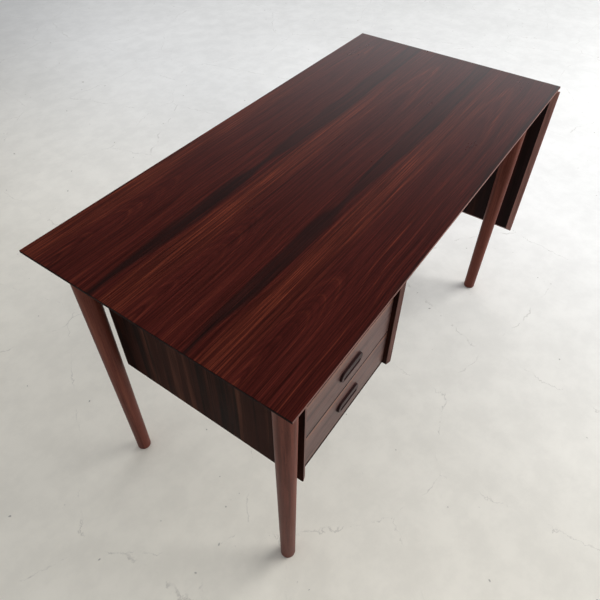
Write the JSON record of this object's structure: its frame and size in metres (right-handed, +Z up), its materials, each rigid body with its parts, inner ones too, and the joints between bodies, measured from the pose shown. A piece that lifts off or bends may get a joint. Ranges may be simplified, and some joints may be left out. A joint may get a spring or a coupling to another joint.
{
  "type": "writing desk with drawers",
  "caption": "Rosewood writing desk on four round tapered legs, with a hanging drawer case at its left end and a drop leaf hinged to its right end.",
  "frame": {"origin": "on the floor, under the middle of the desk with its leaf hanging", "axes": "+Z up, +X along the desk's length towards the drop leaf, -Y towards the sitter and the drawer fronts"},
  "size_m": [1.2244, 0.595, 0.72],
  "materials": {
    "top_veneer": "satin oiled rosewood veneer, long straight grain with dark bands",
    "edge_wood": "satin solid rosewood",
    "leg_wood": "satin turned rosewood",
    "case_veneer": "satin dark rosewood veneer, upright grain on the sides",
    "front_veneer": "satin rosewood veneer, level grain",
    "pull_wood": "satin dark solid rosewood",
    "frame_wood": "dull stained hardwood",
    "drawer_wood": "matt pale oak",
    "brass": "aged satin brass"
  },
  "bodies": {
    "desk": {"case_back": "case_veneer", "case_bottom": "case_veneer", "case_cross_rail_back": "frame_wood", "case_cross_rail_front": "frame_wood", "case_shelf": "case_veneer", "case_side_left": "case_veneer", "case_side_right": "case_veneer", "hinge_back_pin": "brass", "hinge_back_top_leaf": "brass", "hinge_front_pin": "brass", "hinge_front_top_leaf": "brass", "hinge_middle_pin": "brass", "hinge_middle_top_leaf": "brass", "leg_back_left": "leg_wood", "leg_back_right": "leg_wood", "leg_front_left": "leg_wood", "leg_front_right": "leg_wood", "lower_drawer_runner_left": "drawer_wood", "lower_drawer_runner_right": "drawer_wood", "rail_back": "frame_wood", "rail_front": "frame_wood", "rail_left": "frame_wood", "rail_right": "frame_wood", "stay_back_rail_bracket": "brass", "stay_front_rail_bracket": "brass", "top_lipping_back": "edge_wood", "top_lipping_front": "edge_wood", "top_lipping_left": "edge_wood", "top_lipping_right": "edge_wood", "top_panel": "top_veneer", "upper_drawer_runner_left": "drawer_wood", "upper_drawer_runner_right": "drawer_wood"},
    "lower_drawer": {"lower_drawer_back": "drawer_wood", "lower_drawer_bottom": "drawer_wood", "lower_drawer_front": "front_veneer", "lower_drawer_pull": "pull_wood", "lower_drawer_side_left": "drawer_wood", "lower_drawer_side_right": "drawer_wood"},
    "upper_drawer": {"upper_drawer_back": "drawer_wood", "upper_drawer_bottom": "drawer_wood", "upper_drawer_front": "front_veneer", "upper_drawer_pull": "pull_wood", "upper_drawer_side_left": "drawer_wood", "upper_drawer_side_right": "drawer_wood"},
    "leaf": {"hinge_back_drop_leaf": "brass", "hinge_front_drop_leaf": "brass", "hinge_middle_drop_leaf": "brass", "leaf_lipping_back": "edge_wood", "leaf_lipping_end": "edge_wood", "leaf_lipping_front": "edge_wood", "leaf_lipping_hinge_side": "edge_wood", "leaf_panel": "top_veneer", "stay_back_leaf_bracket": "brass", "stay_front_leaf_bracket": "brass"},
    "stay_front_arm": {"stay_front_arm": "brass"},
    "stay_back_arm": {"stay_back_arm": "brass"},
    "stay_front_link": {"stay_front_link": "brass"},
    "stay_back_link": {"stay_back_link": "brass"}
  },
  "joints": [
    {"name": "lower_drawer_slide", "type": "slide", "parent": "desk", "child": "lower_drawer", "axis": [0, -1, 0], "range_m": [0, 0.3]},
    {"name": "upper_drawer_slide", "type": "slide", "parent": "desk", "child": "upper_drawer", "axis": [0, -1, 0], "range_m": [0, 0.3]},
    {"name": "leaf_hinge", "type": "hinge", "parent": "desk", "child": "leaf", "pos_m": [0.58865, 0, 0.6965], "axis": [0, -1, 0], "range_deg": [0, 90]},
    {"name": "stay_front_arm_pivot", "type": "hinge", "parent": "desk", "child": "stay_front_arm", "pos_m": [0.55345, -0.14, 0.6599], "axis": [0, -1, 0], "range_deg": [0, 98.53]},
    {"name": "stay_front_link_pivot", "type": "hinge", "parent": "leaf", "child": "stay_front_link", "pos_m": [0.58115, -0.14, 0.591], "axis": [0, -1, 0], "range_deg": [-112.09, 0]},
    {"name": "stay_back_arm_pivot", "type": "hinge", "parent": "desk", "child": "stay_back_arm", "pos_m": [0.55345, 0.14, 0.6599], "axis": [0, -1, 0], "range_deg": [0, 98.53]},
    {"name": "stay_back_link_pivot", "type": "hinge", "parent": "leaf", "child": "stay_back_link", "pos_m": [0.58115, 0.14, 0.591], "axis": [0, -1, 0], "range_deg": [-112.09, 0]}
  ],
  "couplings": [
    {"joint": "stay_front_arm_pivot", "follows": "leaf_hinge", "ratio": 1.0947},
    {"joint": "stay_front_link_pivot", "follows": "leaf_hinge", "ratio": -1.2454},
    {"joint": "stay_back_arm_pivot", "follows": "leaf_hinge", "ratio": 1.0947},
    {"joint": "stay_back_link_pivot", "follows": "leaf_hinge", "ratio": -1.2454}
  ]
}
